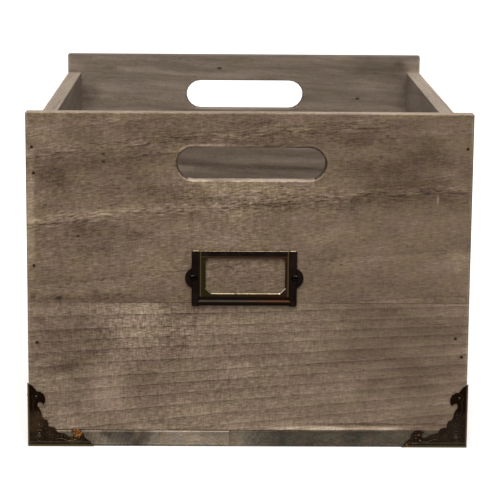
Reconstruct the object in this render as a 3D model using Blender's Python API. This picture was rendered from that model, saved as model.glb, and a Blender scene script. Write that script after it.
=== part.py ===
"""An open storage crate in stained light wood, with pinned metal corners and a card holder.

The crate stands on z = 0 with its front towards -Y and its middle on the Z axis.
Lengths are in metres.
"""

import math

import bmesh
import bpy
from mathutils import Matrix, Vector

# The boxwork: four walls stand on the bottom boards, and the sides fit between front and back,
# with their tops a drop below the tops of these
crate_width = 0.3430
crate_depth = 0.4575
wall_height = 0.2506
wall_thickness = 0.0127
left_side_drop = 0.0177
right_side_drop = 0.0160
side_thickness = 0.0127
bottom_thickness = 0.0120
edge_round = 0.0008
joint_gap = 0.0003
cut_overrun = 0.0050

# Each panel is glued from two boards: this is the lower one's width, or the left one's
front_lower_width = 0.1026
back_lower_width = 0.1185
left_lower_width = 0.0960
right_lower_width = 0.1120
bottom_left_width = 0.1570

# The hand slots, one through the front and one through the back
front_slot_length = 0.1144
front_slot_height = 0.0258
front_slot_drop = 0.0264
front_slot_offset = 0.0013
back_slot_length = 0.1136
back_slot_height = 0.0276
back_slot_drop = 0.0246
back_slot_offset = 0.0008
slot_round = 0.0008

# The metal corners: three leaves of sheet, each with two legs and a scalloped inner edge
corner_leg = 0.0515
corner_sheet = 0.0006
corner_rim = 0.0010
corner_relief = 0.0002
corner_bend = 0.0004

# The round-head pins of the corners, placed from the leaf's two straight edges
pin_inset = 0.0068
pin_reach = 0.0400
pin_diameter = 0.0011
pin_head_diameter = 0.0028
pin_head_height = 0.0008
pin_point = 0.0015

# The brads through the front, the back and the bottom
brad_length = 0.0250
brad_diameter = 0.0012
brad_head_diameter = 0.0020
brad_head_thickness = 0.0006
brad_sink = 0.0005
brad_point = 0.0020

# The card holder, a stamped frame that is open at the back and the top for a card
holder_width = 0.0815
holder_height = 0.0446
holder_offset = -0.0036
holder_face = 0.0019
card_room = 0.0010
side_bar_width = 0.0064
side_bar_height = 0.0030
side_bar_round = 0.0014
bottom_rail_width = 0.0054
bottom_rail_height = 0.0032
bottom_rail_round = 0.0020
top_rail_width = 0.0056
top_rail_height = 0.0024
top_rail_round = 0.0006
rail_step = 0.0006
window_width = 0.0615
window_height = 0.0270
window_shift = 0.0008
window_rise = 0.0017
window_lower_chamfer = 0.0040
window_upper_chamfer = 0.0025
window_bevel = 0.0006
ear_radius = 0.0083
ear_thickness = 0.0014
ear_dish_depth = 0.0002

# The card holder's cross-slotted screws
screw_inset = 0.0016
screw_length = 0.0100
screw_diameter = 0.0022
screw_point = 0.0025
screw_head_diameter = 0.0054
screw_head_height = 0.0018
screw_head_edge = 0.0006
screw_slot_length = 0.0030
screw_slot_width = 0.0006
screw_slot_depth = 0.0010

# Places as shares of what they follow, and the counts and angles of round shapes
holder_height_share = 0.617
front_left_brad_shares = ((0.893, 0.37), (0.813, 0.47), (0.524, 0.43), (0.281, 0.55))
front_right_brad_shares = ((0.893, 0.35), (0.298, 0.80), (0.239, 0.40))
back_brad_shares = ((0.864, 0.50), (0.520, 0.45), (0.223, 0.52))
wall_floor_brad_shares = (-0.55, 0.10, 0.58)
side_floor_brad_shares = (-0.60, -0.05, 0.55)
dome_shares = ((0.82, 0.55), (0.45, 0.90))
round_profile_share = 0.5
round_steps = 2
bar_round_steps = 4
slot_end_steps = 9
small_round_sides = 8
head_round_sides = 14
ear_steps = 14
arc_step = math.radians(30)
smooth_angle = math.radians(35)

# The scalloped edge of a corner's leaf, from a leg's tip to the diagonal, as arcs that each go
# on from the last one's end: a point passed on the way and the end point, in shares of the leg
scallop_shares = (
    ((0.085, 0.940), (0.144, 0.862)),
    ((0.266, 0.781), (0.243, 0.658)),
    ((0.214, 0.690), (0.175, 0.703)),
    ((0.150, 0.652), (0.181, 0.592)),
    ((0.207, 0.540), (0.214, 0.490)),
    ((0.235, 0.442), (0.291, 0.416)),
    ((0.309, 0.372), (0.314, 0.314)),
)

# Heights and half sizes that the pieces share
half_width = crate_width / 2
half_depth = crate_depth / 2
corner_stand = corner_sheet + joint_gap
bottom_top = corner_stand + bottom_thickness
wall_base = bottom_top + joint_gap
wall_top = wall_base + wall_height
slot_bottom = wall_top - front_slot_drop - front_slot_height
holder_middle = wall_base + holder_height_share * (slot_bottom - wall_base)
pin_length = pin_inset - pin_diameter / 2 - joint_gap * 3


def new_material(name, colour, roughness, metallic):
    """A plain finish; the colour is linear red, green and blue."""
    material = bpy.data.materials.new(name)
    material.use_nodes = True
    shader = material.node_tree.nodes["Principled BSDF"]
    shader.inputs["Base Color"].default_value = (*colour, 1)
    shader.inputs["Roughness"].default_value = roughness
    shader.inputs["Metallic"].default_value = metallic
    return material


def finished_mesh(bm, name, material=None):
    """Turns a closed bmesh into a mesh whose faces point outwards."""
    bmesh.ops.recalc_face_normals(bm, faces=bm.faces)
    mesh = bpy.data.meshes.new(name)
    bm.to_mesh(mesh)
    bm.free()
    mesh.shade_smooth()
    mesh.set_sharp_from_angle(angle=smooth_angle)
    if material:
        mesh.materials.append(material)
    return mesh


def add_object(name, mesh, collection=None):
    """Links an object that shows the mesh."""
    obj = bpy.data.objects.new(name, mesh)
    (collection or bpy.context.scene.collection).objects.link(obj)
    return obj


def add_tool(name, mesh, collection=None):
    """Links an object that only joins or cuts others."""
    tool = add_object(name, mesh, collection)
    tool.hide_render = True
    tool.display_type = "WIRE"
    return tool


def combine(obj, operation, tool):
    """Joins or cuts an object with a tool, or with every tool of a collection."""
    modifier = obj.modifiers.new(tool.name, "BOOLEAN")
    modifier.operation = operation
    modifier.solver = "EXACT"
    if isinstance(tool, bpy.types.Collection):
        modifier.operand_type = "COLLECTION"
        modifier.collection = tool
    else:
        modifier.object = tool


def box(low, high):
    """A box between two opposite corners."""
    bm = bmesh.new()
    size = Vector(high) - Vector(low)
    middle = (Vector(high) + Vector(low)) / 2
    place = Matrix.Translation(middle) @ Matrix.Diagonal((*size, 1))
    bmesh.ops.create_cube(bm, size=1, matrix=place)
    return bm


def round_edges(bm, edges, radius, steps=round_steps):
    """Rounds edges with a true arc."""
    bmesh.ops.bevel(
        bm,
        geom=edges,
        offset=radius,
        offset_type="OFFSET",
        segments=steps,
        profile=round_profile_share,
        affect="EDGES",
        clamp_overlap=True,
    )


def loft(rings):
    """A closed skin over rings of points; a ring of one point closes its end to a tip."""
    bm = bmesh.new()
    rows = [[bm.verts.new(point) for point in ring] for ring in rings]
    for near, far in zip(rows, rows[1:]):
        for i in range(max(len(near), len(far))):
            corners = (near[i % len(near)], near[(i + 1) % len(near)])
            corners += (far[(i + 1) % len(far)], far[i % len(far)])
            bm.faces.new(dict.fromkeys(corners))
    for row in (rows[0], rows[-1]):
        if len(row) > 1:
            bm.faces.new(row)
    return bm


def turned(profile, sides):
    """A round piece about Z from a profile of radius and height pairs."""
    rings = []
    for radius, height in profile:
        count = sides if radius else 1
        angles = [math.tau * i / count for i in range(count)]
        rings.append([(radius * math.cos(a), radius * math.sin(a), height) for a in angles])
    return loft(rings)


def arc(centre, radius, start, sweep, steps):
    """Points along a circular arc, both ends included."""
    angles = [start + sweep * i / steps for i in range(steps + 1)]
    return [(centre[0] + radius * math.cos(a), centre[1] + radius * math.sin(a)) for a in angles]


def arc_through(start, via, end):
    """Points along the arc that goes from start through via to end, without its first point."""
    (ax, ay), (bx, by), (cx, cy) = start, via, end
    turn = 2 * (ax * (by - cy) + bx * (cy - ay) + cx * (ay - by))
    a2, b2, c2 = ax * ax + ay * ay, bx * bx + by * by, cx * cx + cy * cy
    x = (a2 * (by - cy) + b2 * (cy - ay) + c2 * (ay - by)) / turn
    y = (a2 * (cx - bx) + b2 * (ax - cx) + c2 * (bx - ax)) / turn
    first = math.atan2(ay - y, ax - x)
    sweep = (math.atan2(cy - y, cx - x) - first) % math.tau
    if turn < 0:
        sweep -= math.tau
    steps = math.ceil(abs(sweep) / arc_step)
    return arc((x, y), math.hypot(ax - x, ay - y), first, sweep, steps)[1:]


def front_prism(outline, near, far):
    """An outline in x and z, drawn out from one distance before the front face to another."""
    return loft([[(x, -half_depth - out, z) for x, z in outline] for out in (near, far)])


# Boards


def keep_between(bm, axis, start, end):
    """Cuts a panel down to one of its boards; None leaves that side as it is."""
    for place, way in ((start, -1), (end, 1)):
        if place is None:
            continue
        spot = Vector((0, 0, 0))
        spot[axis] = place
        outwards = Vector((0, 0, 0))
        outwards[axis] = way
        everything = bm.verts[:] + bm.edges[:] + bm.faces[:]
        bmesh.ops.bisect_plane(
            bm, geom=everything, plane_co=spot, plane_no=outwards, clear_outer=True
        )
        bmesh.ops.holes_fill(bm, edges=bm.edges)


def every_edge(edge):
    """Walls and bottom are rounded all round."""
    return True


def top_edge(edge):
    """A side panel is rounded only along its top, because its ends meet the walls."""
    first, second = (vertex.co for vertex in edge.verts)
    middle = (wall_base + wall_top) / 2
    return min(first.z, second.z) > middle and abs(first.y - second.y) > side_thickness


def add_panel(names, low, high, axis, first_width, rounded, material):
    """A panel of two boards, split across an axis with a glue line between them."""
    split = low[axis] + first_width
    spans = ((None, split - joint_gap / 2), (split + joint_gap / 2, None))
    boards = []
    for name, (start, end) in zip(names, spans):
        bm = box(low, high)
        round_edges(bm, [edge for edge in bm.edges if rounded(edge)], edge_round)
        keep_between(bm, axis, start, end)
        boards.append(add_object(name, finished_mesh(bm, name, material)))
    return boards


def add_boards(material):
    """All ten boards, by name."""
    x, z = 0, 2
    inner_y = half_depth - wall_thickness
    side_y = inner_y - joint_gap
    inner_x = half_width - side_thickness
    boards = add_panel(
        ("bottom_left_board", "bottom_right_board"),
        (-half_width, -half_depth, corner_stand),
        (half_width, half_depth, bottom_top),
        x, bottom_left_width, every_edge, material,
    )
    boards += add_panel(
        ("front_lower_board", "front_upper_board"),
        (-half_width, -half_depth, wall_base),
        (half_width, -inner_y, wall_top),
        z, front_lower_width, every_edge, material,
    )
    boards += add_panel(
        ("back_lower_board", "back_upper_board"),
        (-half_width, inner_y, wall_base),
        (half_width, half_depth, wall_top),
        z, back_lower_width, every_edge, material,
    )
    boards += add_panel(
        ("left_lower_board", "left_upper_board"),
        (-half_width, -side_y, wall_base),
        (-inner_x, side_y, wall_top - left_side_drop),
        z, left_lower_width, top_edge, material,
    )
    boards += add_panel(
        ("right_lower_board", "right_upper_board"),
        (inner_x, -side_y, wall_base),
        (half_width, side_y, wall_top - right_side_drop),
        z, right_lower_width, top_edge, material,
    )
    return {board.name: board for board in boards}


def slot_outline(length, height, middle, grow):
    """A hand slot's outline in x and z, grown by a distance."""
    radius = height / 2
    reach = length / 2 - radius
    ends = []
    for way, start in ((1, -math.pi / 2), (-1, math.pi / 2)):
        centre = (middle[0] + way * reach, middle[1])
        ends += arc(centre, radius + grow, start, math.pi, slot_end_steps)
    return ends


def slot_cutter(name, length, height, middle, outer, inner):
    """Cuts a hand slot through a wall between two y places, with both its rims rounded."""
    way = math.copysign(1, inner - outer)
    quarter = [math.pi / 2 * i / round_steps for i in range(round_steps + 1)]
    rim = [(slot_round * (1 - math.sin(a)), slot_round * (1 - math.cos(a))) for a in quarter]
    stations = [(slot_round, outer - way * cut_overrun)]
    stations += [(grow, outer + way * depth) for grow, depth in rim]
    stations += [(grow, inner - way * depth) for grow, depth in reversed(rim)]
    stations += [(slot_round, inner + way * cut_overrun)]
    rings = [
        [(x, y, z) for x, z in slot_outline(length, height, middle, grow)] for grow, y in stations
    ]
    return add_tool(name, finished_mesh(loft(rings), name))


# Fasteners: each kind is turned about Z with its head up, and comes with the hole that it fills


def dome(radius, base, height):
    """The profile of a rounded head over its rim, ending at its top."""
    points = [(radius * across, base + height * up) for across, up in dome_shares]
    return points + [(0, base + height)]


def fastener_kind(name, profile, hole_profile, sides, material):
    """The shared meshes of one kind of fastener."""
    piece = finished_mesh(turned(profile, sides), name, material)
    hole = finished_mesh(turned(hole_profile, sides), name + "_hole")
    return piece, hole


def brad_kind(material):
    """A slim nail with a small flat head, set a little under the wood's surface."""
    shank, head = brad_diameter / 2, brad_head_diameter / 2
    tip = -brad_sink - brad_length
    under_head = -brad_sink - brad_head_thickness
    profile = (
        (0, tip),
        (shank, tip + brad_point),
        (shank, under_head),
        (head, under_head),
        (head, -brad_sink),
    )
    hole = (
        (0, tip - joint_gap),
        (shank + joint_gap, tip + brad_point - joint_gap),
        (shank + joint_gap, under_head - joint_gap),
        (head + joint_gap, under_head - joint_gap),
        (head + joint_gap, cut_overrun),
    )
    return fastener_kind("brad", profile, hole, small_round_sides, material)


def pin_kind(material):
    """A short pin with a domed head that stands on a leaf of a corner."""
    shank, head = pin_diameter / 2, pin_head_diameter / 2
    profile = (
        (0, -pin_length),
        (shank, pin_point - pin_length),
        (shank, 0),
        (head, 0),
        *dome(head, 0, pin_head_height),
    )
    hole = (
        (0, -pin_length - joint_gap),
        (shank + joint_gap, pin_point - pin_length - joint_gap),
        (shank + joint_gap, cut_overrun),
    )
    return fastener_kind("pin", profile, hole, small_round_sides, material)


def screw_kind(material):
    """A round-head wood screw with a cross slot, drawn without its thread."""
    shank, head = screw_diameter / 2, screw_head_diameter / 2
    crown = screw_head_height - screw_head_edge
    profile = (
        (0, -screw_length),
        (shank, screw_point - screw_length),
        (shank, 0),
        (head, 0),
        (head, screw_head_edge),
        *dome(head, screw_head_edge, crown),
    )
    hole = (
        (0, -screw_length - joint_gap),
        (shank + joint_gap, screw_point - screw_length - joint_gap),
        (shank + joint_gap, cut_overrun),
    )
    return fastener_kind("screw", profile, hole, head_round_sides, material)


def add_fastener(name, kind, place, outward, holes):
    """One fastener, its head towards outward, and its hole among the cutters."""
    piece, hole = kind
    turn = Vector(outward).to_track_quat("Z", "Y")
    fastener = add_object(name, piece)
    cutter = add_tool(name + "_hole", hole, holes)
    for obj in (fastener, cutter):
        obj.location = place
        obj.rotation_euler = turn.to_euler()
    return fastener


def add_brads(kind, holes):
    """Brads through the walls into the sides' ends, and up through the bottom into all walls."""
    rows = (
        ("front_left", -1, -1, front_left_brad_shares),
        ("front_right", 1, -1, front_right_brad_shares),
        ("back_left", -1, 1, back_brad_shares),
        ("back_right", 1, 1, back_brad_shares),
    )
    for row, side, end, places in rows:
        for number, (up, across) in enumerate(places, 1):
            x = side * (half_width - across * side_thickness)
            place = (x, end * half_depth, wall_base + up * wall_height)
            add_fastener(f"brad_{row}_{number}", kind, place, (0, end, 0), holes)
    wall_middle = half_depth - wall_thickness / 2
    side_middle = half_width - side_thickness / 2
    for number, share in enumerate(wall_floor_brad_shares, 1):
        for row, end in (("front", -1), ("back", 1)):
            place = (share * half_width, end * wall_middle, corner_stand)
            add_fastener(f"brad_under_{row}_{number}", kind, place, (0, 0, -1), holes)
    for number, share in enumerate(side_floor_brad_shares, 1):
        for row, side in (("left", -1), ("right", 1)):
            place = (side * side_middle, share * half_depth, corner_stand)
            add_fastener(f"brad_under_{row}_{number}", kind, place, (0, 0, -1), holes)


# Metal corners


def leaf_outline():
    """One leaf, from its corner along both legs, alike on both sides of its diagonal."""
    edge = [(0, 1)]
    for via, end in scallop_shares:
        edge += arc_through(edge[-1], via, end)
    other_half = [(v, u) for u, v in edge[-2::-1]]
    return [(u * corner_leg, v * corner_leg) for u, v in [(0, 0)] + (edge + other_half)[::-1]]


def leaf(axes, relief):
    """A leaf whose field sinks below its rim; axes names where its legs and thickness run."""
    bm = bmesh.new()
    corners = []
    for u, v in leaf_outline():
        point = Vector((0, 0, 0))
        point[axes[0]], point[axes[1]] = u, v
        corners.append(bm.verts.new(point))
    face = bm.faces.new(corners)
    back = bmesh.ops.extrude_face_region(bm, geom=[face])["geom"]
    inwards = Vector((0, 0, 0))
    inwards[axes[2]] = 1
    moved = [item for item in back if isinstance(item, bmesh.types.BMVert)]
    bmesh.ops.translate(bm, verts=moved, vec=inwards * corner_sheet)
    bmesh.ops.inset_region(bm, faces=[face], thickness=corner_rim, use_even_offset=True)
    bmesh.ops.translate(bm, verts=face.verts, vec=inwards * relief)
    return bm


def corner_mesh(material):
    """Three leaves joined along their bends, with the corner point at the origin."""
    leaves = (
        ("leaf_front", (0, 2, 1), corner_relief),
        ("leaf_side", (1, 2, 0), corner_relief),
        ("leaf_under", (0, 1, 2), 0),
    )
    tools = [add_tool(name, finished_mesh(leaf(axes, relief), name)) for name, axes, relief in leaves]
    combine(tools[0], "UNION", tools[1])
    combine(tools[0], "UNION", tools[2])
    graph = bpy.context.evaluated_depsgraph_get()
    bm = bmesh.new()
    bm.from_mesh(tools[0].evaluated_get(graph).to_mesh())
    for tool in tools:
        bpy.data.objects.remove(tool)
    bends = [edge for edge in bm.edges if is_bend(edge)]
    round_edges(bm, bends, corner_bend)
    return finished_mesh(bm, "corner", material)


def is_bend(edge):
    """Whether an edge lies on two of the corner's outer faces."""
    shared = [
        axis for axis in range(3)
        if all(abs(vertex.co[axis]) < corner_relief / 10 for vertex in edge.verts)
    ]
    return len(shared) == 2


def add_corners(material, kind, holes):
    """The four corners, mirrored from one shape, and the pins in their upright leaves."""
    shape = corner_mesh(material)
    seat = joint_gap - corner_relief
    steps = {"upper": (pin_inset, pin_reach), "lower": (pin_reach, pin_inset)}
    for end_name, end in (("front", -1), ("back", 1)):
        for side_name, side in (("left", -1), ("right", 1)):
            name = f"corner_{end_name}_{side_name}"
            bm = bmesh.new()
            bm.from_mesh(shape)
            bm.transform(Matrix.Diagonal((-side, -end, 1, 1)))
            corner = add_object(name, finished_mesh(bm, name, material))
            tip = Vector((side * (half_width + corner_stand), end * (half_depth + corner_stand), 0))
            corner.location = tip
            combine(corner, "DIFFERENCE", holes)
            for level, (across, up) in steps.items():
                face = tip + Vector((-side * across, end * seat, up))
                flank = tip + Vector((side * seat, -end * across, up))
                pin = f"pin_{end_name}_{side_name}"
                add_fastener(f"{pin}_face_{level}", kind, face, (0, end, 0), holes)
                add_fastener(f"{pin}_side_{level}", kind, flank, (side, 0, 0), holes)


# Card holder


def bar(name, across, up, out, rounding):
    """A raised bar on the card holder, from (start, end) pairs, rounded except at its back."""
    low = (holder_offset + across[0], -half_depth - out[1], holder_middle + up[0])
    high = (holder_offset + across[1], -half_depth - out[0], holder_middle + up[1])
    bm = box(low, high)
    middle = (low[1] + high[1]) / 2
    raised = [edge for edge in bm.edges if any(vertex.co.y < middle for vertex in edge.verts)]
    round_edges(bm, raised, rounding, bar_round_steps)
    return add_tool(name, finished_mesh(bm, name))


def window_outline(grow):
    """The window with its clipped corners, grown by a distance, in x and z."""
    x, z = holder_offset + window_shift, holder_middle + window_rise
    half_x, half_z = window_width / 2 + grow, window_height / 2 + grow
    outline = []
    for side, level, clip in ((-1, -1, window_lower_chamfer), (1, -1, window_lower_chamfer),
                              (1, 1, window_upper_chamfer), (-1, 1, window_upper_chamfer)):
        clip += grow * (2 - math.sqrt(2))
        ends = [
            (x + side * (half_x - clip), z + level * half_z),
            (x + side * half_x, z + level * (half_z - clip)),
        ]
        outline += reversed(ends) if side == level else ends
    return outline


def window_cutter():
    """Cuts the window through the plate, and bevels its front edge."""
    stations = (
        (-cut_overrun, 0),
        (holder_face - window_bevel, 0),
        (holder_face + window_bevel, window_bevel * 2),
        (holder_face + cut_overrun, window_bevel * 2),
    )
    rings = [[(x, -half_depth - out, z) for x, z in window_outline(grow)] for out, grow in stations]
    return add_tool("card_window", finished_mesh(loft(rings), "card_window"))


def add_card_holder(material, kind, holes):
    """The frame with its window and ears, the room for a card behind it, and its two screws."""
    half_x, half_z = holder_width / 2, holder_height / 2
    bar_inner, bar_middle = half_x - side_bar_width, half_x - side_bar_width / 2
    card_back = joint_gap + card_room
    tall, wide = (-half_z, half_z), (-bar_middle, bar_middle)
    lower = (rail_step - half_z, bottom_rail_width - half_z)
    upper = (half_z - top_rail_width, half_z - rail_step)
    side_bar, bottom_rail = (joint_gap, side_bar_height), (joint_gap, bottom_rail_height)
    top_rail = ((card_back + holder_face) / 2, top_rail_height)
    plate = [
        (holder_offset + x, holder_middle + z)
        for x, z in ((wide[0], sum(lower) / 2), (wide[1], sum(lower) / 2),
                     (wide[1], sum(upper) / 2), (wide[0], sum(upper) / 2))
    ]
    blank = front_prism(plate, card_back, holder_face)
    holder = add_object("card_holder", finished_mesh(blank, "card_holder", material))
    joined = [
        bar("side_bar_left", (-half_x, -bar_inner), tall, side_bar, side_bar_round),
        bar("side_bar_right", (bar_inner, half_x), tall, side_bar, side_bar_round),
        bar("bottom_rail", wide, lower, bottom_rail, bottom_rail_round),
        bar("top_rail", wide, upper, top_rail, top_rail_round),
    ]
    cutters = [window_cutter()]
    dish_radius = screw_head_diameter / 2 + joint_gap
    dish_floor = ear_thickness - ear_dish_depth
    for side_name, side in (("left", -1), ("right", 1)):
        middle = (holder_offset + side * bar_middle, holder_middle)
        outline = arc(middle, ear_radius, -side * math.pi / 2, math.pi, ear_steps)
        ear = front_prism(outline, joint_gap, ear_thickness)
        joined.append(add_tool(f"ear_{side_name}", finished_mesh(ear, "ear")))
        spot = (holder_offset + side * (half_x - screw_inset), holder_middle)
        outline = arc(spot, dish_radius, 0, math.tau, head_round_sides)[1:]
        dish = front_prism(outline, dish_floor, side_bar_height + cut_overrun)
        cutters.append(add_tool(f"ear_dish_{side_name}", finished_mesh(dish, "ear_dish")))
        place = (spot[0], -half_depth - dish_floor - joint_gap, spot[1])
        name = f"card_holder_screw_{side_name}"
        screw = add_fastener(name, kind, place, (0, -1, 0), holes)
        cut_cross(screw)
    for piece in joined:
        combine(holder, "UNION", piece)
    for cutter in cutters:
        combine(holder, "DIFFERENCE", cutter)
    combine(holder, "DIFFERENCE", holes)


def cut_cross(screw):
    """Cuts the cross slot into a screw's head."""
    reach, half = screw_slot_length / 2, screw_slot_width / 2
    floor = screw_head_height - screw_slot_depth
    for number, (x, y) in enumerate(((reach, half), (half, reach)), 1):
        name = f"{screw.name}_slot_{number}"
        bm = box((-x, -y, floor), (x, y, screw_head_height + cut_overrun))
        tool = add_tool(name, finished_mesh(bm, name))
        tool.location = screw.location
        tool.rotation_euler = screw.rotation_euler
        combine(screw, "DIFFERENCE", tool)


def main():
    for obj in list(bpy.data.objects):
        bpy.data.objects.remove(obj)
    wood = new_material("stained_wood", (0.19, 0.14, 0.10), 0.75, 0)
    bronze = new_material("antique_bronze", (0.030, 0.022, 0.016), 0.45, 0.9)
    brass = new_material("antique_brass", (0.085, 0.055, 0.028), 0.40, 0.95)
    steel = new_material("dark_steel", (0.020, 0.018, 0.016), 0.55, 0.9)
    holes = bpy.data.collections.new("fastener_holes")
    bpy.context.scene.collection.children.link(holes)
    boards = add_boards(wood)
    inner_y = half_depth - wall_thickness
    for name, end, length, height, drop, offset in (
        ("front", -1, front_slot_length, front_slot_height, front_slot_drop, front_slot_offset),
        ("back", 1, back_slot_length, back_slot_height, back_slot_drop, back_slot_offset),
    ):
        middle = (offset, wall_top - drop - height / 2)
        cutter = slot_cutter(name + "_slot", length, height, middle, end * half_depth, end * inner_y)
        combine(boards[name + "_upper_board"], "DIFFERENCE", cutter)
    add_brads(brad_kind(steel), holes)
    add_corners(bronze, pin_kind(bronze), holes)
    add_card_holder(brass, screw_kind(brass), holes)
    for board in boards.values():
        combine(board, "DIFFERENCE", holes)


main()
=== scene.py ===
"""The looks of an open storage crate: stained light wood, antique metal corners, a card holder.

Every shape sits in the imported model's frame: metres, front towards -Y, floor at z = 0.
The materials and the relief on the corners are worked out in millimetres.
"""

import math

import bmesh
import bpy
from mathutils import Matrix, Vector


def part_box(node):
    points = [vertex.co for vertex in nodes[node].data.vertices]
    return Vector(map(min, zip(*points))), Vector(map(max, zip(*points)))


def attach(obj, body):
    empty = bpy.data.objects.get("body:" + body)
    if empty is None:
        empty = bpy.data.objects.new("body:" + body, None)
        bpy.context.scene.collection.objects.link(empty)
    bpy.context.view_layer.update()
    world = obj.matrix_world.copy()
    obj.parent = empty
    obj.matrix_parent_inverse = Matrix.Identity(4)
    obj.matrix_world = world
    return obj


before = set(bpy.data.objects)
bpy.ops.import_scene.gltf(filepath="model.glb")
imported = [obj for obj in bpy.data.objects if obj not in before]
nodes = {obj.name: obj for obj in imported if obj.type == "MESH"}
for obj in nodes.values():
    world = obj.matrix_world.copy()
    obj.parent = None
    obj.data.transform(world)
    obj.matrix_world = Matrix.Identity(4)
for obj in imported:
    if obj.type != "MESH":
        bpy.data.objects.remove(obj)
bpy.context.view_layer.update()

MM = 0.001

# The crate's own sizes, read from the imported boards
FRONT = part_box("front_upper_board")
HALF_WIDTH = FRONT[1].x / MM
HALF_DEPTH = -FRONT[0].y / MM
WALL_TOP = FRONT[1].z / MM
LEFT_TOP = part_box("left_upper_board")[1].z / MM
RIGHT_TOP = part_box("right_upper_board")[1].z / MM

# The upright leaves of the metal corners: their outer faces, and how far their fields are sunk
LEAF_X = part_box("corner_front_right")[1].x / MM
LEAF_Y = -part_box("corner_front_right")[0].y / MM
FIELD_SINK = 0.2

# The front hand slot, in millimetres: its middle across and up, half its straight run, its radius
SLOT_MIDDLE = (1.3, 224.5)
SLOT_REACH = 44.3
SLOT_RADIUS = 12.9


def linear(colour):
    """An sRGB hex colour as linear red, green, blue and one for alpha."""
    values = [int(colour[i:i + 2], 16) / 255 for i in (1, 3, 5)]
    return [v / 12.92 if v <= 0.04045 else ((v + 0.055) / 1.055) ** 2.4 for v in values] + [1]


def add(tree, kind, inputs=None, out=0, **settings):
    """Adds a shader node with its settings and inputs, and returns one of its outputs."""
    node = tree.nodes.new("ShaderNode" + kind)
    for name, value in settings.items():
        setattr(node, name, value)
    for key, value in (inputs or {}).items():
        if isinstance(value, bpy.types.NodeSocket):
            tree.links.new(value, node.inputs[key])
        else:
            node.inputs[key].default_value = value
    return node.outputs[out]


class Sums:
    """Writes arithmetic on a material's values as chains of nodes."""

    def __init__(self, tree):
        self.tree = tree

    def do(self, operation, *values):
        return add(self.tree, "Math", dict(enumerate(values)), operation=operation)

    def plus(self, first, *others):
        for other in others:
            first = self.do("ADD", first, other)
        return first

    def times(self, first, *others):
        for other in others:
            first = self.do("MULTIPLY", first, other)
        return first

    def most(self, first, *others):
        for other in others:
            first = self.do("MAXIMUM", first, other)
        return first

    def length(self, first, second):
        """The distance that two steps at a right angle cover."""
        return self.do("SQRT", self.plus(self.times(first, first), self.times(second, second)))

    def swing(self, value, share):
        """A value that lies around 0.5, moved to lie around 0 and scaled."""
        return self.times(self.do("SUBTRACT", value, 0.5), share)

    def axis(self, vector, name):
        """A vector's x, y or z."""
        return add(self.tree, "SeparateXYZ", {0: vector}, out="xyz".index(name))

    def fade(self, value, start, end):
        """0 at start and 1 at end, smooth between them; start may be the larger."""
        low, high, flip = (start, end, False) if start < end else (end, start, True)
        span = {"Value": value, "From Min": low, "From Max": high}
        span |= {"To Min": 1.0, "To Max": 0.0} if flip else {"To Min": 0.0, "To Max": 1.0}
        return add(self.tree, "MapRange", span, interpolation_type="SMOOTHSTEP")

    def hump(self, value, middle, width):
        """1 at the middle, 0 from one width away on."""
        away = self.do("ABSOLUTE", self.do("SUBTRACT", value, middle))
        return self.fade(away, width, 0)

    def mix(self, share, first, second, blend_type="MIX"):
        """A colour between two; each is a hex colour or a socket."""
        ends = [linear(c) if isinstance(c, str) else c for c in (first, second)]
        inputs = {0: share, 6: ends[0], 7: ends[1]}
        return add(self.tree, "Mix", inputs, out=2, data_type="RGBA", blend_type=blend_type)

    def noise(self, where, size, detail=2.0, rough=0.5, seed=0.0):
        """Even noise from 0 to 1 whose grains are about size long; size may be three sizes."""
        sizes = size if isinstance(size, tuple) else (size,) * 3
        scaled = add(self.tree, "Mapping", {
            "Vector": where, "Scale": [1 / s for s in sizes],
            "Location": (seed * 7.31, seed * 3.17, seed * 5.71),
        })
        return add(self.tree, "TexNoise", {
            "Vector": scaled, "Scale": 1.0, "Detail": detail, "Roughness": rough,
        })


def new_material(name):
    """An empty material with its node tree, sums, shader and place in millimetres."""
    material = bpy.data.materials.new(name)
    material.use_nodes = True
    tree = material.node_tree
    shader = tree.nodes["Principled BSDF"]
    place = add(tree, "TexCoord", out=3)
    place = add(tree, "VectorMath", {0: place, "Scale": 1 / MM}, operation="SCALE")
    return material, tree, Sums(tree), shader, place


# Wood

# A blot's soft edge, in shares of its size: it starts at the first and is full from the second in
BLOT_EDGE = (1.25, 0.25)


def patches(sums, board, warp, spots):
    """Soft-edged blots on a board, added up: (along, across, half length, half height, share)."""
    total = 0.0
    for along, across, half_length, half_height, share in spots:
        scale = (1 / half_length, 0, 1 / half_height)
        spot = add(sums.tree, "VectorMath", {0: board, 1: scale}, operation="MULTIPLY")
        middle = (along / half_length, 0, across / half_height)
        away = add(sums.tree, "VectorMath", {0: spot, 1: middle}, out=1, operation="DISTANCE")
        inside = sums.fade(sums.plus(away, warp), *BLOT_EDGE)
        total = sums.plus(sums.times(inside, share), total)
    return total


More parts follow.
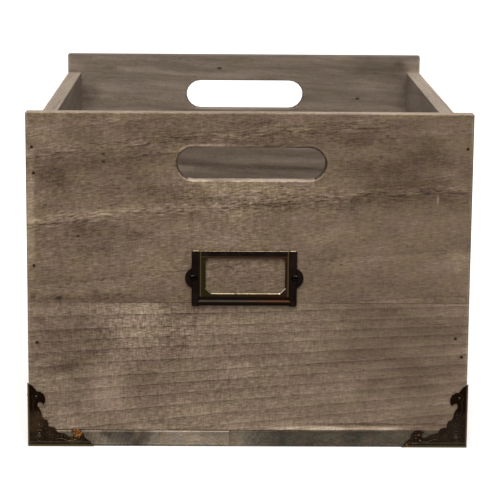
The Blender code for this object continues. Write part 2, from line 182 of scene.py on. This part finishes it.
def stained_wood(name, grain, look):
    """Paulownia boards, rough planed, stained grey-brown and rubbed back.

    The stain lies darkest in the open pores, in the summer lines of the rings and on end grain,
    and wear has lifted it from the edges. Painted highlight also lightens the top edges and the
    slot's lower wall, and painted shade darkens the slot's upper ends. grain names the axes along,
    into and across the board.
    """
    material, tree, sums, shader, place = new_material(name)
    axes = {a: sums.axis(place, a) for a in "xyz"}
    along, into, across = (axes[a] for a in grain)
    facing = sums.axis(add(tree, "TexCoord", out=1), grain[0])
    end_grain = sums.fade(sums.do("ABSOLUTE", facing), 0.25, 0.6)
    seed = look["seed"]
    board = add(tree, "CombineXYZ", {0: along, 1: into, 2: across})

    # The growth rings: distance from the tree's middle, fanned out, bent by slow and quick waves
    bow = sums.times(along, along, look["bow"])
    rise = sums.plus(look["rise"], sums.times(across, look["fan"]))
    level = sums.do("SUBTRACT", across, sums.plus(sums.times(along, rise), bow))
    slow = sums.noise(board, (140, 60, 60), 1, seed=seed)
    quick = sums.noise(board, (30, 9, 9), 2, seed=seed + 1)
    level = sums.plus(level, sums.swing(slow, look["wave"]), sums.swing(quick, look["waver"]))
    deep = sums.do("SUBTRACT", into, look["pith"][0])
    wide = sums.do("SUBTRACT", level, look["pith"][1])
    radius = sums.length(deep, wide)
    uneven = add(tree, "TexNoise", {
        "W": sums.plus(sums.times(radius, 0.45 / look["ring"]), seed), "Scale": 1.0, "Detail": 0.0,
    }, noise_dimensions="1D")
    count = sums.plus(sums.times(radius, 1 / look["ring"]), sums.times(uneven, look["uneven"]))
    phase = sums.do("FRACT", count)
    strength = add(tree, "TexWhiteNoise", {"W": sums.do("FLOOR", count)}, noise_dimensions="1D")
    edge = look["ring_line"] / look["ring"]
    line = sums.most(sums.fade(phase, edge, 0), sums.fade(phase, 1 - edge * 1.2, 1))
    early = sums.fade(phase, 0.4, 0.02)
    late = sums.fade(phase, 0.55, 0.98)

    # Fibres, saw marks and short dark pores, drawn a little coarse so that they show
    flow = add(tree, "CombineXYZ", {0: along, 1: into, 2: level})
    broken = sums.noise(flow, (16, 4, 2.2), 2, 0.6, seed + 2)
    fibre = sums.noise(flow, (10, 2.2, 1.9), 3, 0.65, seed + 3)
    grit = sums.noise(flow, (4.4, 1.1, 1.0), 1, 0.5, seed + 4)
    marks = sums.noise(board, (1.1, 2.5, 5.0), 1, 0.5, seed + 5)
    dash = sums.noise(flow, (5.5, 1.3, 1.0), 1, 0.5, seed + 6)
    stroke = sums.noise(flow, (7, 2, 1.1), 2, 0.5, seed + 11)
    patchy = sums.noise(board, (34, 14, 14), 2, seed=seed + 7)
    pores = sums.times(
        sums.fade(dash, 0.60, 0.74),
        sums.plus(0.45, sums.times(early, 0.75)),
        sums.fade(patchy, 0.35, 0.6),
    )
    weak = 1 - look["steady"]
    line = sums.times(
        line,
        sums.plus(look["steady"], sums.times(strength, weak)),
        sums.plus(look["steady"], sums.times(sums.fade(broken, 0.35, 0.6), weak)),
    )

    # Slow changes of the stain, and the board's own marks, with a few patches and strips that are
    # painted highlight and shade; its texture is coarser to the left, and its ring lines are faint
    # near the left end
    slow_tone = sums.noise(flow, look["cloud_size"], 3, 0.55, seed + 8)
    warp = sums.swing(sums.noise(board, (26, 12, 12), 3, seed=seed + 9), 1.6)
    coarse = sums.plus(0.62, sums.times(sums.fade(along, 140, -20), 0.38))
    coarse = sums.plus(coarse, patches(sums, board, warp, look["raw"]))
    texture = sums.plus(
        sums.swing(fibre, 0.42 * look["rough"]),
        sums.swing(grit, 0.64 * look["rough"]),
        sums.swing(marks, look["sawn"]),
    )
    clear = sums.plus(0.5, sums.times(sums.fade(along, -160, -90), 0.5))
    stain = sums.plus(
        look["base"],
        sums.swing(slow_tone, look["cloud"]),
        sums.times(texture, coarse),
        sums.times(line, coarse, clear, -look["contrast"]),
        sums.times(late, -0.28 * look["contrast"]),
        sums.times(early, 0.2 * look["contrast"]),
        sums.times(pores, -0.18),
        patches(sums, board, warp, look["patches"]),
    )
    for height, share, band, end in look["lines"]:
        near = sums.times(sums.hump(level, height + 1.5, 8.0), share)
        crisp = sums.times(sums.hump(level, height, 1.3), sums.fade(broken, 0.38, 0.55))
        drawn = sums.plus(
            sums.times(near, sums.fade(stroke, 0.54, 0.68), -1.3),
            sums.times(near, sums.fade(stroke, 0.46, 0.34), 0.9),
            sums.times(crisp, -0.6 * share),
            sums.times(sums.hump(level, height - 4, 7), -0.2 * share),
            sums.times(sums.hump(level, height + 5, 6), band),
        )
        stain = sums.plus(stain, sums.times(drawn, sums.fade(along, end + 40, end)))
    # Strips level with the floor; the light ones along top edges are painted highlight
    for height, half, share in look["strips"]:
        stain = sums.plus(stain, sums.times(sums.hump(axes["z"], height, half), share))
    for u, v, size in look["knots"]:
        away = add(tree, "VectorMath", {0: board, 1: (u, 0, v)}, operation="SUBTRACT")
        away = add(tree, "VectorMath", {0: away, 1: (0.6, 0, 1)}, operation="MULTIPLY")
        away = add(tree, "VectorMath", {0: away}, out=1, operation="LENGTH")
        away = sums.plus(away, sums.times(warp, size * 0.4))
        stain = sums.plus(stain, sums.times(sums.fade(away, size * 1.5, size * 0.3), -0.42))

    # Edges rubbed light, and faces that look up lightened as painted highlight; end grain soaked
    # dark
    reach = sums.do("ABSOLUTE", axes["x"])
    edges = [sums.fade(reach, HALF_WIDTH - 2.6, HALF_WIDTH - 0.6)]
    # The wall's top face is lightened too: partly wear, partly painted highlight where it faces up
    if look["top"]:
        edges.append(sums.fade(axes["z"], look["top"] - 1.1, look["top"] - 0.3))
    if look["slot"]:
        aside = sums.do("ABSOLUTE", sums.do("SUBTRACT", axes["x"], SLOT_MIDDLE[0]))
        past = sums.most(sums.do("SUBTRACT", aside, SLOT_REACH), 0)
        high = sums.do("SUBTRACT", axes["z"], SLOT_MIDDLE[1])
        rim = sums.length(past, high)
        # The slot's lower rim and wall, which face up, are lightened twice over: wear on the rim,
        # painted highlight on the wall
        lower = sums.fade(high, -2, -12)
        edges.append(sums.times(sums.fade(rim, SLOT_RADIUS + 1.2, SLOT_RADIUS + 0.3), lower, 2.0))
        # The slot's upper ends are darkened, more to the right: painted shade of the slot's upper
        # wall, partly stain soaked into the sawn ends
        slot_shade_and_soak = sums.times(
            sums.fade(rim, SLOT_RADIUS + 1.6, SLOT_RADIUS + 0.5),
            sums.fade(high, -8, 2),
            sums.fade(aside, 24, 46),
            sums.plus(0.6, sums.times(sums.fade(axes["x"], 10, 48), 0.9)),
        )
        lightened = sums.times(
            sums.hump(rim, SLOT_RADIUS + 1.7, 1.5),
            sums.fade(high, 8, 12),
            sums.fade(axes["x"], 12, -32),
        )
        stain = sums.plus(stain, sums.times(slot_shade_and_soak, -0.3), sums.times(lightened, 0.26))
    worn_and_highlit = sums.times(
        sums.most(*edges),
        sums.fade(patchy, 0.25, 0.55),
        sums.do("SUBTRACT", 1.0, end_grain),
    )
    stain = sums.plus(stain, sums.times(worn_and_highlit, 0.16), sums.times(end_grain, look["soak"]))

    ramp = tree.nodes.new("ShaderNodeValToRGB")
    tree.links.new(stain, ramp.inputs[0])
    stops = ramp.color_ramp.elements
    stops[0].position, stops[1].position = 0.0, 1.0
    for position in (0.25, 0.5, 0.75):
        stops.new(position)
    for stop, colour in zip(stops, look["colours"]):
        stop.color = linear(colour)
    tint = sums.noise(board, (24, 9, 9), 2, 0.6, seed + 10)
    tint = sums.mix(sums.fade(tint, 0.36, 0.64), look["cool"], look["warm"])
    colour = sums.mix(1.0, ramp.outputs[0], tint, blend_type="MULTIPLY")

    # The walls are a little greyer on their inner faces
    outer = {"x": HALF_WIDTH, "y": HALF_DEPTH}.get(grain[1])
    if outer:
        inside = sums.fade(sums.do("ABSOLUTE", into), outer - 0.4, outer - 1.6)
        colour = add(tree, "HueSaturation", {
            "Saturation": sums.plus(1.0, sums.times(inside, -0.22)), "Color": colour,
        })

    tree.links.new(colour, shader.inputs["Base Color"])
    tree.links.new(sums.plus(0.7, sums.times(fibre, 0.2)), shader.inputs["Roughness"])
    shader.inputs["Specular IOR Level"].default_value = 0.25
    relief = sums.plus(
        sums.times(fibre, 0.7),
        sums.times(grit, 0.5),
        sums.times(marks, 0.2),
        sums.times(pores, -0.6),
        sums.times(line, -0.5),
    )
    bump = add(tree, "Bump", {
        "Height": relief, "Distance": 0.35 * look["rough"] * MM, "Strength": 1.0,
    })
    tree.links.new(bump, shader.inputs["Normal"])
    return material


# The stain from where it lies thickest to bare, worn wood
GREY_BROWN = ("#34291f", "#584738", "#806e5c", "#a99580", "#d5c5b0")


def wood_look(seed, **changes):
    """How one board looks: its place in the tree, its rings, its stain and its own marks.

    pith is the tree's middle, into and across the board. ring and ring_line are the widths of the
    rings and of their dark lines; rise, fan and bow slope, spread and bend them, and wave and
    waver shake them. The marks are given as
    - lines along the grain: (height, share, share of the light band above, where it ends)
    - strips along the floor: (height, half height, share); the light ones on top edges are painted
      highlight
    - knots: (along, across, size)
    - patches, which change the tone, and raw, which changes the texture, as patches() takes them
    """
    values = dict(
        seed=seed, pith=(60, 60), ring=11.0, ring_line=0.9, rise=0.0, fan=0.0, bow=0.0, wave=10.0,
        waver=2.4, uneven=1.6, steady=0.3, contrast=0.2, cloud=0.45, rough=0.85, sawn=0.22,
        soak=-0.3, top=None, slot=False, lines=(), strips=(), knots=(), patches=(), raw=(),
        colours=GREY_BROWN, warm="#fffff6", cool="#fff8f8", base=0.5, cloud_size=(75, 30, 30),
    )
    values.update(changes)
    return values


FRONT_FACE = -HALF_DEPTH

# What the plainer boards share
EVEN_STAIN = dict(cloud=0.28, cloud_size=(130, 50, 36))
SIDE_TOP = dict(contrast=0.12, rough=0.6, **EVEN_STAIN)
FINE_RINGS = dict(
    ring_line=0.6, wave=5, waver=1.4, uneven=0.9, steady=0.5, contrast=0.2, **EVEN_STAIN)

boards = {
    "front_upper_board": ("xyz", wood_look(
        1, pith=(FRONT_FACE + 55, 174), ring=15.0, rise=0.085, bow=-0.00012, wave=6,
        top=WALL_TOP, slot=True, contrast=0.12, base=0.44, warm="#fffdee",
        lines=((193, 0.21, 0.08, 200), (246, 0.19, 0.03, 85)),
        raw=((5, 197, 70, 18, 0.6), (-3, 151, 34, 18, 0.2), (-110, 234, 70, 24, -0.22)),
        # The light strip along the top edge is a painted highlight
        strips=((WALL_TOP, 0.6, 0.07),),
        knots=((-112, 232, 0.8), (-112, 226, 0.9), (-132, 168, 1.0), (-147, 119, 1.6)),
        patches=(
            (-120, 214, 80, 26, -0.06), (-150, 213, 16, 10, -0.10), (-80, 207, 12, 6, -0.09),
            (112, 214, 66, 24, -0.15), (0, 206, 60, 9, 0.17), (60, 246, 120, 14, -0.08),
            (-120, 185, 60, 8, 0.05), (-125, 172, 50, 8, -0.10), (-24, 172, 34, 14, 0.09),
            (-80, 145, 18, 16, 0.07), (-120, 119, 50, 5, -0.16), (150, 143, 24, 14, 0.05),
            (-168, 190, 4, 60, 0.2), (83, 242, 16, 8, -0.1), (139, 242, 18, 8, -0.1),
            # (120, WALL_TOP, ...) is a painted highlight along the top edge on the right
            (145, 197, 1.2, 5, 0.3), (120, WALL_TOP, 80, 0.9, 0.05),
            (-84, 246, 44, 14, -0.09), (-110, 145, 80, 26, -0.05), (46, 152, 44, 18, -0.06),
            (-18, 188, 26, 7, 0.12), (-50, 203, 22, 8, -0.08), (-157, 244, 14, 14, 0.11),
            (-12, 254, 34, 7, -0.09), (-152, 174, 18, 9, 0.09), (162, 151, 10, 12, 0.1),
        ))),
    "front_lower_board": ("xyz", wood_look(
        2, pith=(FRONT_FACE + 70, -140.8), ring=8.4, ring_line=0.5, rise=0.12, fan=-0.00084,
        bow=0.00003, wave=3, waver=1.2, uneven=0.25, steady=0.55, contrast=0.26, sawn=0.36,
        rough=0.8, raw=((-80, 98, 44, 30, 0.55), (-120, 50, 50, 50, -0.1), (120, 70, 80, 60, -0.2)),
        patches=(
            (-84, 98, 24, 24, 0.14), (-110, 45, 18, 22, 0.07), (-82, 52, 18, 26, -0.08),
            (74, 15.0, 58, 2.0, 0.34), (95, 18.6, 60, 1.4, -0.24), (-135, 64, 26, 12, -0.05),
            (-140, 84, 44, 30, -0.14), (120, 78, 66, 42, -0.15), (52, 32, 26, 14, -0.06),
            (45, 17, 90, 6, 0.1), (-66, 78, 22, 14, -0.10), (140, 28, 26, 14, -0.05),
            (-134, 42, 18, 22, -0.12), (-76, 14, 16, 7, 0.13), (-10, 63, 18, 9, 0.09),
            (102, 63, 26, 8, 0.07), (-8, 13, 16, 6, 0.09),
        ))),
    "back_upper_board": ("xyz", wood_look(
        3, pith=(HALF_DEPTH + 40, 60), ring=12.0, rise=-0.05, wave=4, rough=0.2, contrast=0.06,
        sawn=0.1, uneven=0.8, base=0.53, cloud=0.5, cloud_size=(70, 20, 7),
        lines=((150, 0.0, -0.17, 200), (163, 0.0, -0.08, 200)), strips=((WALL_TOP, 1.6, -0.13),),
        knots=((-24, 251, 1.4), (111, 222, 1.2)),
        patches=(
            (130, 252, 40, 12, -0.12), (-100, 230, 60, 20, 0.04), (-150, 226, 10, 14, -0.12),
            (-130, 251, 7, 2.5, -0.12), (152, 256, 7, 3, -0.14), (124, 241, 6, 2, -0.1),
            # (-20, 146, ...) darkens the inner face where it shows through the slot: painted shade
            # of the front wall
            (165, 246, 8, 10, 0.14), (-20, 146, 90, 10, -0.08),
        ))),
    "back_lower_board": ("xyz", wood_look(
        4, pith=(HALF_DEPTH + 80, 220), ring=8.0, rise=-0.03, **FINE_RINGS)),
    "left_upper_board": ("yxz", wood_look(
        5, pith=(-230, 90), ring=13.0, rise=0.04, bow=0.0001, base=0.54,
        lines=((172, 0.18, 0.05, 240), (228, 0.12, 0.02, 240)),
        # The light strip along the top edge is a painted highlight
        strips=((LEFT_TOP, 1.4, 0.09),), knots=((96, 204, 1.2), (-150, 140, 0.9)), **SIDE_TOP)),
    "left_lower_board": ("yxz", wood_look(
        6, pith=(-240, -60), ring=7.6, rise=-0.05, **FINE_RINGS)),
    "right_upper_board": ("yxz", wood_look(
        7, pith=(240, 300), ring=12.0, rise=-0.05, bow=-0.0001, base=0.57,
        lines=((186, 0.18, 0.05, 240),),
        # The light strip along the top edge is a painted highlight
        strips=((RIGHT_TOP, 1.4, 0.09),), knots=((-60, 216, 1.0),), **SIDE_TOP)),
    "right_lower_board": ("yxz", wood_look(
        8, pith=(250, 20), ring=8.2, rise=0.04, **FINE_RINGS)),
    "bottom_left_board": ("yzx", wood_look(
        9, pith=(-16, -42), ring=3.4, ring_line=0.6, wave=3, waver=0.8, contrast=0.22, soak=-0.03,
        rough=0.5, warm="#fff6ea", cool="#f3f4f6", cloud=0.7, base=0.5,
        # The light strip at 12.35 mm is a painted highlight on the board's rounded top edge
        strips=((12.35, 0.55, 0.35), (10.5, 3.0, -0.06), (2.2, 1.2, 0.1)),
        patches=((FRONT_FACE, -128, 40, 22, -0.14), (FRONT_FACE, -97, 40, 20, -0.32),
                 (FRONT_FACE, -84, 40, 14, -0.06), (FRONT_FACE, -53, 40, 16, 0.1),
                 (FRONT_FACE, -34, 40, 24, 0.05)),
        colours=("#3a3128", "#62574a", "#8b7d6d", "#b5a593", "#d8cab6"))),
    "bottom_right_board": ("yzx", wood_look(
        10, pith=(-40, 90), ring=4.0, ring_line=0.5, wave=3, contrast=0.1, soak=-0.27, rough=0.5,
        warm="#fff3ea", cool="#f0f5f0", cloud=0.6, base=0.47,
        strips=((12.0, 1.6, -0.06), (2.0, 1.2, 0.06)),
        patches=((FRONT_FACE, -12, 40, 26, 0.24), (FRONT_FACE, 38, 40, 20, -0.12),
                 (FRONT_FACE, 112, 40, 26, 0.1)),
        colours=("#2f2a23", "#534a3e", "#7d7061", "#aa9884", "#d5c7b3"))),
}
for name, (grain, look) in boards.items():
    nodes[name].material_slots[0].material = stained_wood(f"wood_{name}", grain, look)


# Metal


def blackened(name, base, grime, worn_and_highlit, lightened):
    """Pressed brass, blackened by an acid bath, and paler where it faces up as a painted highlight.
    """
    material, tree, sums, shader, place = new_material(name)
    cloud = sums.noise(place, 9, 3, 0.6)
    speck = sums.noise(place, 1.6, 2, 0.6, 3)
    colour = sums.mix(sums.fade(cloud, 0.35, 0.7), grime, base)
    up = sums.axis(add(tree, "NewGeometry", out=1), "z")
    # A speckled pale colour where the surface faces up: a painted highlight
    rub_and_highlight = sums.times(sums.fade(up, *lightened), sums.fade(speck, 0.25, 0.5))
    colour = sums.mix(rub_and_highlight, colour, worn_and_highlit)
    tree.links.new(colour, shader.inputs["Base Color"])
    shader.inputs["Metallic"].default_value = 1.0
    tree.links.new(sums.plus(0.36, sums.times(cloud, 0.25)), shader.inputs["Roughness"])
    bump = add(tree, "Bump", {"Height": speck, "Distance": 0.05 * MM, "Strength": 0.6})
    tree.links.new(bump, shader.inputs["Normal"])
    return material, sums, shader, place, colour, up


# The card holder, in millimetres from its middle: half the width of its flat plate, of the window
# between the cut corners and of the rolled rail, and the heights at which plate and rail end
PLATE_HALF, PLATE_TOP = 34.0, 16.4
WINDOW_HALF = 26.4
RAIL_HALF, RAIL_TOP = 36.4, -14.0


def card_holder_brass():
    """The card holder: black bars, painted highlights on the edges that face up and on the window's
    lower chamfers, a painted floor reflection beneath the top rail, and a rolled rail with a
    painted copper sheen.
    """
    # Its pale colour where it faces up is a painted highlight
    material, sums, shader, place, colour, up = blackened(
        "card_holder_brass", "#201713", "#150e0b", "#94836a", (0.36, 0.6))
    low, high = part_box("card_holder")
    middle = (low + high) / 2 / MM
    u = sums.do("SUBTRACT", sums.axis(place, "x"), middle.x)
    v = sums.do("SUBTRACT", sums.axis(place, "z"), middle.z)
    beside = sums.do("ABSOLUTE", u)
    plate = sums.fade(beside, PLATE_HALF + 0.6, PLATE_HALF)
    olive = sums.mix(sums.fade(u, -30, 30), "#262010", "#2a1b11")
    flat = sums.times(plate, sums.fade(up, 0.4, 0.2), sums.fade(v, PLATE_TOP + 0.6, PLATE_TOP))
    colour = sums.mix(flat, colour, olive)
    groove = sums.hump(beside, PLATE_HALF - 0.1, 0.8)
    colour = sums.mix(sums.times(groove, 0.45), colour, "#66573a")
    # The window's lower chamfers that face up get a pale painted glint, brighter to the right
    chamfer_glint = sums.times(
        sums.fade(beside, WINDOW_HALF, WINDOW_HALF + 1),
        sums.fade(v, -4, -7),
        sums.fade(up, 0.2, 0.45),
    )
    glint_colour = sums.mix(sums.fade(u, -20, 20), "#8a7a58", "#d6cbb0")
    colour = sums.mix(sums.times(chamfer_glint, plate), colour, glint_colour)
    # Faces that look down near the top get a brown painted reflection of the floor
    floor_reflection = sums.times(sums.fade(up, -0.2, -0.4), plate, sums.fade(v, 8, 11))
    colour = sums.mix(floor_reflection, colour, "#6b4f3c")
    # The rolled rail's painted sheen: lighter where it faces up, near black where it faces down
    sheen = sums.mix(sums.fade(u, -12, 34), "#332b25", "#452a1a")
    sheen = sums.mix(sums.fade(up, -0.1, 0.5), "#0f0b07", sheen)
    rail = sums.times(
        sums.fade(v, RAIL_TOP, RAIL_TOP - 1), sums.fade(beside, RAIL_HALF + 0.6, RAIL_HALF))
    colour = sums.mix(rail, colour, sheen)
    material.node_tree.links.new(colour, shader.inputs["Base Color"])
    return material


# The lobe of the left front corner that has been knocked bare: its middle on the leaf
KNOCKED_LOBE = (38.6, 11.6, 0)


def corner_bronze():
    """The metal corners: dark tips, bends and relief lightened partly by wear and partly as painted
    highlight, and brass showing on one lobe.
    """
    # Its pale colour where it faces up is a painted highlight
    material, sums, shader, place, colour, _ = blackened(
        "corner_bronze", "#35281b", "#1d140c", "#8f8268", (0.5, 0.9))
    tree = material.node_tree
    x, y, z = (sums.axis(place, a) for a in "xyz")
    facing = sums.axis(add(tree, "NewGeometry", out=1), "x")
    on_side = sums.do("GREATER_THAN", sums.do("ABSOLUTE", facing), 0.7)
    from_side = sums.do("SUBTRACT", LEAF_X, sums.do("ABSOLUTE", x))
    from_end = sums.do("SUBTRACT", LEAF_Y, sums.do("ABSOLUTE", y))
    proud = sums.most(sums.times(from_side, -1.0), sums.times(from_end, -1.0))
    u = sums.plus(from_side, sums.times(on_side, sums.do("SUBTRACT", from_end, from_side)))
    leaf = add(tree, "CombineXYZ", {0: u, 1: z, 2: 0.0})

    colour = sums.mix(sums.times(sums.fade(x, -40, 100), 0.5), colour, "#181313")
    tip = sums.fade(sums.most(u, z), 25, 31)
    colour = sums.mix(sums.times(tip, sums.fade(u, 20, 12)), colour, "#150b05")
    # The bends and a band low on each leaf are lighter: partly wear, partly painted highlight
    bends = sums.most(sums.fade(u, 1.6, 0.6), sums.fade(z, 2.2, 0.8))
    bends = sums.most(bends, sums.times(sums.hump(z, 3.6, 0.7), 0.5))
    colour = sums.mix(sums.times(bends, 0.7), colour, "#5f563f")
    speck = sums.noise(place, 1.3, 2, 0.5, 5)
    knocked = add(tree, "VectorMath", {0: leaf, 1: KNOCKED_LOBE}, out=1, operation="DISTANCE")
    knocked = sums.times(
        sums.fade(knocked, 5.4, 2.6),
        sums.fade(x, 0, -100),
        sums.fade(y, 0, -100),
        sums.do("SUBTRACT", 1.0, on_side),
    )
    patchy = sums.noise(place, 3.0, 2, 0.5, 9)
    gold = sums.times(knocked, sums.fade(patchy, 0.38, 0.52))
    gold = sums.most(gold, sums.times(sums.fade(u, 28, 33), sums.fade(patchy, 0.62, 0.68), 0.7))
    bright = sums.mix(sums.fade(speck, 0.4, 0.65), "#57331a", "#a8753c")
    colour = sums.mix(gold, colour, bright)
    # The raised relief is lighter in specks: partly wear, partly painted highlight
    rub_and_highlight = sums.times(sums.fade(proud, 0.05, 0.35), sums.fade(speck, 0.35, 0.6))
    colour = sums.mix(sums.times(rub_and_highlight, 0.24), colour, "#6e6455")
    tree.links.new(colour, shader.inputs["Base Color"])
    return material


# The metal of each kind of node, by how its name starts; the screws come before the holder
metals = {
    "corner": corner_bronze(),
    # The pale colours of screws and pins where they face up are painted glints
    "card_holder_screw": blackened("screw_brass", "#0f0c09", "#0a0806", "#c4c3bd", (0.55, 0.9))[0],
    "card_holder": card_holder_brass(),
    "pin": blackened("pin_brass", "#2b231a", "#1c150e", "#6a655c", (0.3, 0.7))[0],
    "brad": blackened("stained_brads", "#3d2f22", "#2c2117", "#4a3b2c", (0.5, 0.9))[0],
}
for name, node in nodes.items():
    for start, metal in metals.items():
        if name.startswith(start):
            node.material_slots[0].material = metal
            break


# Relief on the corners: it is pressed up out of their sheet, and its roots reach into it

RELIEF_ROOT = 0.2
BAND_TIP = 0.2
ROSETTE = (8.8, 8.8)
FLOWER = (8.9, 17.1)
CURL = (6.8, 40.0)

# The single beads along one leg of a leaf: a spot and a radius
BEADS = (
    ((8.4, 26.3), 1.0), ((8.0, 23.4), 0.6), ((7.7, 29.0), 0.6),
    ((11.6, 40.3), 0.6), ((3.4, 17.6), 0.6), ((3.2, 45.3), 0.5),
)


def skin(bm, rings, closed=False):
    """Faces over rings of points, in a loop or with both ends capped."""
    rows = [[bm.verts.new(point) for point in ring] for ring in rings]
    for near, far in zip(rows, rows[1:] + rows[:1] if closed else rows[1:]):
        for i in range(len(near)):
            j = (i + 1) % len(near)
            bm.faces.new((near[i], near[j], far[j], far[i]))
    if not closed:
        bm.faces.new(rows[0])
        bm.faces.new(rows[-1])


def button(bm, place, spot, radius, height):
    """A domed button at a spot on a leaf."""
    sides = max(8, round(radius * 7))
    turns = [math.tau * i / sides for i in range(sides)]
    steps = [math.radians(a) for a in (0, 25, 50, 72)]
    rows = [(1, -RELIEF_ROOT)] + [(math.cos(a), height * math.sin(a)) for a in steps]
    rings = []
    for share, out in rows:
        ring = radius * share
        rings.append([place(spot[0] + ring * math.cos(t), spot[1] + ring * math.sin(t), out)
                      for t in turns])
    skin(bm, rings)


def roll(bm, place, path, half, height, closed=False):
    """A half-round band along a path on a leaf; open ends taper down to BAND_TIP of its size."""
    rings = []
    dome = [math.radians(a) for a in (40, 90, 140)]
    last = len(path) - 1
    for i, (u, v) in enumerate(path):
        before = path[i - 1] if closed or i else path[i]
        after = path[(i + 1) % len(path)] if closed or i < last else path[i]
        run = (Vector(after) - Vector(before)).normalized()
        size = 1 if closed else min(1, BAND_TIP + 5 * min(i, last - i) / last)
        section = [(-1, -RELIEF_ROOT), (-1, 0)]
        section += [(-math.cos(a), height * size * math.sin(a)) for a in dome]
        section += [(1, 0), (1, -RELIEF_ROOT)]
        rings.append([place(u - run.y * half * size * s, v + run.x * half * size * s, out)
                      for s, out in section])
    skin(bm, rings, closed)


def circle(spot, radius, start=0, sweep=360, steps=24):
    """Points on a circle on a leaf, or on part of one."""
    turns = [math.radians(start + sweep * i / steps) for i in range(steps + (sweep != 360))]
    return [(spot[0] + radius * math.cos(t), spot[1] + radius * math.sin(t)) for t in turns]


def leaf_relief(bm, place):
    """A rosette by the corner, and along each leg a flower, beads and a stem round the pin."""
    button(bm, place, ROSETTE, 2.3, 0.7)
    roll(bm, place, circle(ROSETTE, 4.3, steps=32), 0.35, 0.3, closed=True)
    for spot in circle(ROSETTE, 3.2, steps=10):
        button(bm, place, spot, 0.55, 0.35)
    button(bm, place, (14.0, 14.0), 0.8, 0.4)
    stem = [(5.2 + 1.1 * math.sin(math.tau * t / 16), 20.8 + t) for t in range(16)]
    stem += circle(CURL, 3.0, 238, -290, 26)
    for turned in (False, True):
        def turn(u, v, out):
            return place(v, u, out) if turned else place(u, v, out)
        button(bm, turn, FLOWER, 1.0, 0.5)
        for spot in circle(FLOWER, 2.4, steps=9):
            button(bm, turn, spot, 0.45, 0.3)
        for spot, radius in BEADS:
            button(bm, turn, spot, radius, 0.4)
        roll(bm, turn, stem, 0.55, 0.4)


def new_object(name, data):
    """A mesh, a light or a camera as an object in the scene."""
    made = bpy.data.objects.new(name, data)
    bpy.context.scene.collection.objects.link(made)
    return made


for end_name, end in (("front", -1), ("back", 1)):
    for side_name, side in (("left", -1), ("right", 1)):
        bm = bmesh.new()
        leaf_relief(bm, lambda u, v, out: (
            side * (LEAF_X - u), end * (LEAF_Y - FIELD_SINK + out), v))
        leaf_relief(bm, lambda u, v, out: (
            side * (LEAF_X - FIELD_SINK + out), end * (LEAF_Y - u), v))
        bm.transform(Matrix.Scale(MM, 4))
        bmesh.ops.recalc_face_normals(bm, faces=bm.faces)
        name = f"corner_relief_{end_name}_{side_name}"
        mesh = bpy.data.meshes.new(name)
        bm.to_mesh(mesh)
        bm.free()
        mesh.shade_smooth()
        mesh.set_sharp_from_angle(angle=math.radians(50))
        mesh.materials.append(metals["corner"])
        relief = new_object(name, mesh)
        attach(relief, "root")


# Floor, light and camera

FLOOR_REACH = 12.0


def glowing_floor():
    """A white floor that glows evenly, except beneath the crate, where the glow is left off to
    paint shade in the gap.
    """
    material, tree, sums, shader, place = new_material("glowing_white_floor")
    beside, ahead = (sums.do("ABSOLUTE", sums.axis(place, a)) for a in "xy")
    # The glow is left off beneath the crate, so the gap there shows painted shade
    open_floor = sums.most(
        sums.do("GREATER_THAN", beside, HALF_WIDTH), sums.do("GREATER_THAN", ahead, HALF_DEPTH))
    tree.links.new(sums.times(open_floor, 0.3), shader.inputs["Emission Strength"])
    shader.inputs["Emission Color"].default_value = (1, 1, 1, 1)
    shader.inputs["Base Color"].default_value = linear("#f1f0ee")
    shader.inputs["Roughness"].default_value = 0.9
    return material


def camera_turn(pitch, yaw, roll):
    """Turned from looking along +Y: down by pitch, right by yaw, and about its view by roll."""
    forward = Vector((
        math.sin(yaw) * math.cos(pitch), math.cos(yaw) * math.cos(pitch), -math.sin(pitch)))
    level = Vector((math.cos(yaw), -math.sin(yaw), 0))
    down = forward.cross(level)
    right = math.cos(roll) * level + math.sin(roll) * down
    below = math.cos(roll) * down - math.sin(roll) * level
    return Matrix((right, -below, -forward)).transposed().to_4x4()


floor_mesh = bpy.data.meshes.new("studio_floor")
floor_mesh.from_pydata(
    [(x * FLOOR_REACH, y * FLOOR_REACH, 0) for x, y in ((-1, -1), (1, -1), (1, 1), (-1, 1))],
    [], [(0, 1, 2, 3)])
floor_mesh.materials.append(glowing_floor())
floor = new_object("studio_floor", floor_mesh)
floor.visible_diffuse = False

world = bpy.data.worlds.new("studio")
bpy.context.scene.world = world
world.use_nodes = True
background = world.node_tree.nodes["Background"]
background.inputs["Color"].default_value = (1, 1, 1, 1)
background.inputs["Strength"].default_value = 0.45

key_data = bpy.data.lights.new("overhead_softbox", "SUN")
key_data.energy = 2.75
key_data.angle = math.radians(50)
key = new_object("overhead_softbox", key_data)
key.rotation_euler = (math.radians(28), 0, 0)

camera_data = bpy.data.cameras.new("camera")
camera_data.sensor_width = 36.0
camera_data.lens = 148.11
camera_data.clip_end = 100.0
camera = new_object("camera", camera_data)
camera_place = Matrix.Translation((-0.02203, -1.78697, 0.46294))
camera.matrix_world = camera_place @ camera_turn(pitch=0.19343, yaw=0.01456, roll=-0.00772)
bpy.context.scene.camera = camera
bpy.context.scene.view_settings.view_transform = "Standard"
